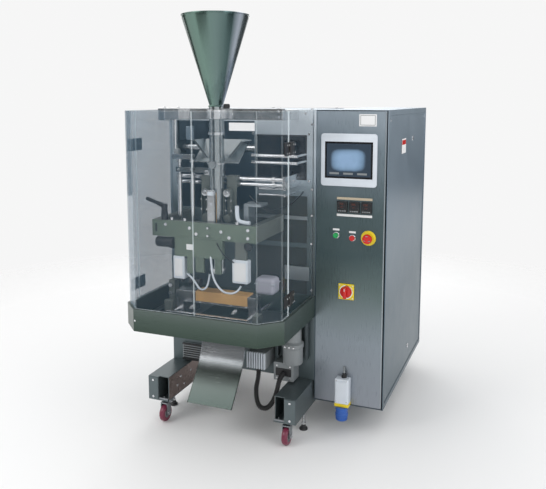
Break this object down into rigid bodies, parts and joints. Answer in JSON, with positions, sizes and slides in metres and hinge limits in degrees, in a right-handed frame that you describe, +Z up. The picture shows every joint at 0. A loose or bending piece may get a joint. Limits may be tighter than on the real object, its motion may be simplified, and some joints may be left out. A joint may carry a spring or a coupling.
{
  "type": "vertical form fill sealer",
  "caption": "Bagging machine that forms film round a filling tube, seals it with jaws and drops the bags down a chute, beside a control cabinet.",
  "frame": {"origin": "on the floor, under the middle of the machine's outline", "axes": "+Z up, +X to the operator's right, +Y from the operator to the back"},
  "size_m": [0.99, 1.32, 1.728],
  "materials": {
    "steel": "satin brushed stainless steel",
    "bright_steel": "ground bright steel",
    "green_paint": "grey-green satin paint",
    "acrylic": "clear acrylic sheet",
    "black_plastic": "matt black",
    "white_plastic": "white moulded plastic",
    "wheel_red": "dark red polyurethane",
    "tan_tape": "tan glass-cloth tape",
    "green_plastic": "green button",
    "red_plastic": "red button",
    "yellow_plastic": "yellow plate",
    "rubber": "black rubber",
    "screen": "white bezel"
  },
  "bodies": {
    "machine": {"left_foot": "steel", "right_foot": "steel", "body_frame": "steel", "body_front_panel": "steel", "body_covers": "steel", "cabinet_shell": "steel", "cabinet_side_panel": "steel", "electrics_plate": "steel", "tray": "steel", "side_guards": "acrylic", "guard_hinges": "black_plastic", "top_beam": "steel", "funnel": "steel", "filling_tube": "steel", "forming_collar": "steel", "crosshead": "green_paint", "guide_rods": "bright_steel", "seal_fittings": "white_plastic", "chute": "steel", "film_brackets": "steel", "under_fittings": "steel", "conduit": "rubber"},
    "caster_front_left": {"caster_fork_front_left": "bright_steel"},
    "wheel_front_left": {"caster_wheel_front_left": "wheel_red"},
    "leveller_front_left": {"levelling_foot_front_left": "black_plastic"},
    "caster_rear_left": {"caster_fork_rear_left": "bright_steel"},
    "wheel_rear_left": {"caster_wheel_rear_left": "wheel_red"},
    "leveller_rear_left": {"levelling_foot_rear_left": "black_plastic"},
    "caster_front_right": {"caster_fork_front_right": "bright_steel"},
    "wheel_front_right": {"caster_wheel_front_right": "wheel_red"},
    "leveller_front_right": {"levelling_foot_front_right": "black_plastic"},
    "caster_rear_right": {"caster_fork_rear_right": "bright_steel"},
    "wheel_rear_right": {"caster_wheel_rear_right": "wheel_red"},
    "leveller_rear_right": {"levelling_foot_rear_right": "black_plastic"},
    "cabinet_door": {"cabinet_door": "steel", "operator_panel": "screen", "control_fittings": "yellow_plastic", "power_inlet": "white_plastic"},
    "green_button": {"green_button": "green_plastic"},
    "red_button": {"red_button": "red_plastic"},
    "emergency_stop": {"emergency_stop": "red_plastic"},
    "main_switch": {"main_switch_knob": "red_plastic"},
    "side_lock_upper": {"side_lock_upper": "bright_steel"},
    "side_lock_lower": {"side_lock_lower": "bright_steel"},
    "guard_door_left": {"guard_door_left": "acrylic", "door_leaves_left": "black_plastic"},
    "guard_door_right": {"guard_door_right": "acrylic", "door_leaves_right": "black_plastic"},
    "guide_roller": {"guide_roller": "bright_steel"},
    "reel_shaft": {"reel_shaft": "bright_steel"},
    "dancer": {"dancer_arm": "bright_steel"},
    "seal_bar": {"seal_bar": "bright_steel"},
    "clamp_lever": {"clamp_lever": "black_plastic"},
    "belt_unit_left": {"belt_unit_left": "green_paint"},
    "drive_pulley_left": {"drive_pulley_left": "bright_steel"},
    "belt_unit_right": {"belt_unit_right": "green_paint"},
    "drive_pulley_right": {"drive_pulley_right": "bright_steel"},
    "front_jaw": {"front_jaw": "tan_tape"},
    "rear_jaw": {"rear_jaw": "tan_tape"},
    "knife": {"knife": "bright_steel"}
  },
  "joints": [
    {"name": "swivel_front_left", "type": "hinge", "parent": "machine", "child": "caster_front_left", "pos_m": [-0.425, -0.395, 0.098], "axis": [0, 0, 1], "continuous": true},
    {"name": "roll_front_left", "type": "hinge", "parent": "caster_front_left", "child": "wheel_front_left", "pos_m": [-0.425, -0.42, 0.0375], "axis": [1, 0, 0], "continuous": true},
    {"name": "level_front_left", "type": "slide", "parent": "machine", "child": "leveller_front_left", "axis": [0, 0, -1], "range_m": [0, 0.02]},
    {"name": "swivel_rear_left", "type": "hinge", "parent": "machine", "child": "caster_rear_left", "pos_m": [-0.425, 0.505, 0.098], "axis": [0, 0, 1], "continuous": true},
    {"name": "roll_rear_left", "type": "hinge", "parent": "caster_rear_left", "child": "wheel_rear_left", "pos_m": [-0.425, 0.48, 0.0375], "axis": [1, 0, 0], "continuous": true},
    {"name": "level_rear_left", "type": "slide", "parent": "machine", "child": "leveller_rear_left", "axis": [0, 0, -1], "range_m": [0, 0.02]},
    {"name": "swivel_front_right", "type": "hinge", "parent": "machine", "child": "caster_front_right", "pos_m": [0.145, -0.395, 0.098], "axis": [0, 0, 1], "continuous": true},
    {"name": "roll_front_right", "type": "hinge", "parent": "caster_front_right", "child": "wheel_front_right", "pos_m": [0.145, -0.42, 0.0375], "axis": [1, 0, 0], "continuous": true},
    {"name": "level_front_right", "type": "slide", "parent": "machine", "child": "leveller_front_right", "axis": [0, 0, -1], "range_m": [0, 0.02]},
    {"name": "swivel_rear_right", "type": "hinge", "parent": "machine", "child": "caster_rear_right", "pos_m": [0.145, 0.505, 0.098], "axis": [0, 0, 1], "continuous": true},
    {"name": "roll_rear_right", "type": "hinge", "parent": "caster_rear_right", "child": "wheel_rear_right", "pos_m": [0.145, 0.48, 0.0375], "axis": [1, 0, 0], "continuous": true},
    {"name": "level_rear_right", "type": "slide", "parent": "machine", "child": "leveller_rear_right", "axis": [0, 0, -1], "range_m": [0, 0.02]},
    {"name": "cabinet_door_swing", "type": "hinge", "parent": "machine", "child": "cabinet_door", "pos_m": [0.48, -0.211, 0.68], "axis": [0, 0, 1], "range_deg": [0, 100]},
    {"name": "green_button_press", "type": "slide", "parent": "cabinet_door", "child": "green_button", "axis": [0, 1, 0], "range_m": [0, 0.003], "stiffness_N_per_m": 400},
    {"name": "red_button_press", "type": "slide", "parent": "cabinet_door", "child": "red_button", "axis": [0, 1, 0], "range_m": [0, 0.003], "stiffness_N_per_m": 400},
    {"name": "emergency_stop_press", "type": "slide", "parent": "cabinet_door", "child": "emergency_stop", "axis": [0, 1, 0], "range_m": [0, 0.004], "stiffness_N_per_m": 800},
    {"name": "main_switch_turn", "type": "hinge", "parent": "cabinet_door", "child": "main_switch", "pos_m": [0.332, -0.22, 0.611], "axis": [0, 1, 0], "range_deg": [0, 90]},
    {"name": "side_lock_upper_turn", "type": "hinge", "parent": "machine", "child": "side_lock_upper", "pos_m": [0.495, 0.307, 1.223], "axis": [1, 0, 0], "range_deg": [0, 90]},
    {"name": "side_lock_lower_turn", "type": "hinge", "parent": "machine", "child": "side_lock_lower", "pos_m": [0.495, 0.307, 0.219], "axis": [1, 0, 0], "range_deg": [0, 90]},
    {"name": "guard_door_left_swing", "type": "hinge", "parent": "machine", "child": "guard_door_left", "pos_m": [-0.4905, -0.5115, 0.68], "axis": [0, 0, 1], "range_deg": [-110, 0]},
    {"name": "guard_door_right_swing", "type": "hinge", "parent": "machine", "child": "guard_door_right", "pos_m": [0.1905, -0.5115, 0.68], "axis": [0, 0, 1], "range_deg": [0, 110]},
    {"name": "guide_roller_spin", "type": "hinge", "parent": "machine", "child": "guide_roller", "pos_m": [-0.15, -0.16, 1.19], "axis": [1, 0, 0], "continuous": true},
    {"name": "reel_spin", "type": "hinge", "parent": "machine", "child": "reel_shaft", "pos_m": [-0.15, 0.5, 0.45], "axis": [1, 0, 0], "continuous": true},
    {"name": "dancer_swing", "type": "hinge", "parent": "machine", "child": "dancer", "pos_m": [-0.15, 0.29, 0.7], "axis": [1, 0, 0], "range_deg": [0, 45]},
    {"name": "seal_bar_press", "type": "slide", "parent": "machine", "child": "seal_bar", "axis": [0, 1, 0], "range_m": [0, 0.008]},
    {"name": "clamp_lever_turn", "type": "hinge", "parent": "machine", "child": "clamp_lever", "pos_m": [-0.355, -0.509, 0.917], "axis": [0, 0, 1], "range_deg": [-60, 60]},
    {"name": "belt_unit_left_slide", "type": "slide", "parent": "machine", "child": "belt_unit_left", "axis": [1, 0, 0], "range_m": [-0.012, 0]},
    {"name": "drive_pulley_left_spin", "type": "hinge", "parent": "belt_unit_left", "child": "drive_pulley_left", "pos_m": [-0.1985, -0.44, 1.03], "axis": [0, 1, 0], "continuous": true},
    {"name": "belt_unit_right_slide", "type": "slide", "parent": "machine", "child": "belt_unit_right", "axis": [1, 0, 0], "range_m": [0, 0.012]},
    {"name": "drive_pulley_right_spin", "type": "hinge", "parent": "belt_unit_right", "child": "drive_pulley_right", "pos_m": [-0.1015, -0.44, 1.03], "axis": [0, 1, 0], "continuous": true},
    {"name": "front_jaw_slide", "type": "slide", "parent": "machine", "child": "front_jaw", "axis": [0, 1, 0], "range_m": [-0.04, 0]},
    {"name": "rear_jaw_slide", "type": "slide", "parent": "machine", "child": "rear_jaw", "axis": [0, 1, 0], "range_m": [0, 0.04]},
    {"name": "knife_slide", "type": "slide", "parent": "rear_jaw", "child": "knife", "axis": [0, -1, 0], "range_m": [0, 0.012]}
  ],
  "couplings": [
    {"joint": "rear_jaw_slide", "follows": "front_jaw_slide", "ratio": -1},
    {"joint": "belt_unit_right_slide", "follows": "belt_unit_left_slide", "ratio": -1},
    {"joint": "drive_pulley_right_spin", "follows": "drive_pulley_left_spin", "ratio": -1}
  ]
}
